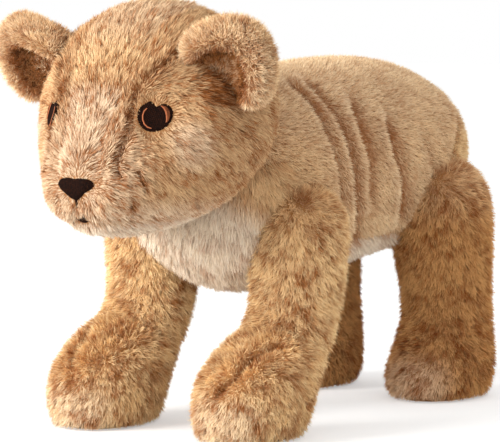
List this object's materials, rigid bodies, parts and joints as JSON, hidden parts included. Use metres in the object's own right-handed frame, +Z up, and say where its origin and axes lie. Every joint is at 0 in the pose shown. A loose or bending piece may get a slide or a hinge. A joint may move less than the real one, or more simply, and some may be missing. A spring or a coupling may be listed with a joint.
{
  "type": "plush lion",
  "caption": "Standing stuffed lion cub with sewn plush skins, a turning head, soft ears, swinging legs and a hanging tail.",
  "frame": {"origin": "on the ground, under the middle of the whole toy's box", "axes": "+Z up, +Y towards the tail, +X towards the cub's left side; the muzzle faces -Y"},
  "size_m": [0.1986, 0.411, 0.272],
  "materials": {
    "tan_plush": "short tan pile, brushed, a little darker in its folds",
    "gold_plush": "longer shaggy golden pile with darker brown mottling",
    "cream_plush": "longer soft cream pile",
    "black_thread": "dense satin stitch in near-black brown thread",
    "copper_thread": "satin stitch in copper thread with a salmon edge",
    "fibre_fill": "white polyester fibre"
  },
  "bodies": {
    "torso": {"torso_skin": "tan_plush", "belly_panel": "cream_plush", "torso_stuffing": "fibre_fill"},
    "neck": {"neck_stuffing": "fibre_fill"},
    "head": {"forehead_gusset": "tan_plush", "chin_panel": "cream_plush", "left_face_panel": "tan_plush", "right_face_panel": "tan_plush", "head_stuffing": "fibre_fill", "left_eye": "black_thread", "left_inner_iris": "copper_thread", "left_outer_iris": "copper_thread", "right_eye": "black_thread", "right_inner_iris": "copper_thread", "right_outer_iris": "copper_thread", "nose": "black_thread", "philtrum_stitch": "black_thread", "mouth": "black_thread"},
    "left_ear": {"left_ear_back": "tan_plush", "left_ear_lining": "tan_plush"},
    "right_ear": {"right_ear_back": "tan_plush", "right_ear_lining": "tan_plush"},
    "front_left_limb": {"front_left_leg": "gold_plush", "front_left_leg_stuffing": "fibre_fill", "front_left_sole": "gold_plush"},
    "front_right_limb": {"front_right_leg": "gold_plush", "front_right_leg_stuffing": "fibre_fill", "front_right_sole": "gold_plush"},
    "hind_left_limb": {"hind_left_leg": "gold_plush", "hind_left_leg_stuffing": "fibre_fill", "hind_left_sole": "gold_plush"},
    "hind_right_limb": {"hind_right_leg": "gold_plush", "hind_right_leg_stuffing": "fibre_fill", "hind_right_sole": "gold_plush"},
    "hanging_tail": {"tail": "tan_plush", "tail_tuft": "gold_plush"}
  },
  "joints": [
    {"name": "head_turn", "type": "hinge", "parent": "torso", "child": "neck", "pos_m": [0, -0.0435, 0.1575], "axis": [0, 0, 1], "range_deg": [-20, 20], "stiffness_Nm_per_rad": 0.8},
    {"name": "head_nod", "type": "hinge", "parent": "neck", "child": "head", "pos_m": [0, -0.0435, 0.1575], "axis": [1, 0, 0], "range_deg": [-10, 10], "stiffness_Nm_per_rad": 3, "springref_deg": -1.43},
    {"name": "left_ear_flop", "type": "hinge", "parent": "head", "child": "left_ear", "pos_m": [0.06521, -0.13702, 0.23246], "axis": [0.6861, 0.4036, -0.6054], "range_deg": [-10, 20], "stiffness_Nm_per_rad": 0.01},
    {"name": "right_ear_flop", "type": "hinge", "parent": "head", "child": "right_ear", "pos_m": [-0.06521, -0.13702, 0.23246], "axis": [0.6861, -0.4036, 0.6054], "range_deg": [-10, 20], "stiffness_Nm_per_rad": 0.01},
    {"name": "front_left_swing", "type": "hinge", "parent": "torso", "child": "front_left_limb", "pos_m": [0.0575, -0.0485, 0.126], "axis": [1, 0, 0], "range_deg": [-12, 12], "stiffness_Nm_per_rad": 3},
    {"name": "front_right_swing", "type": "hinge", "parent": "torso", "child": "front_right_limb", "pos_m": [-0.0575, -0.0485, 0.126], "axis": [1, 0, 0], "range_deg": [-12, 12], "stiffness_Nm_per_rad": 3},
    {"name": "hind_left_swing", "type": "hinge", "parent": "torso", "child": "hind_left_limb", "pos_m": [0.054, 0.1265, 0.128], "axis": [1, 0, 0], "range_deg": [-12, 12], "stiffness_Nm_per_rad": 3},
    {"name": "hind_right_swing", "type": "hinge", "parent": "torso", "child": "hind_right_limb", "pos_m": [-0.054, 0.1265, 0.128], "axis": [1, 0, 0], "range_deg": [-12, 12], "stiffness_Nm_per_rad": 3},
    {"name": "tail_lift", "type": "hinge", "parent": "torso", "child": "hanging_tail", "pos_m": [0, 0.1795, 0.178], "axis": [1, 0, 0], "range_deg": [0, 45]}
  ]
}
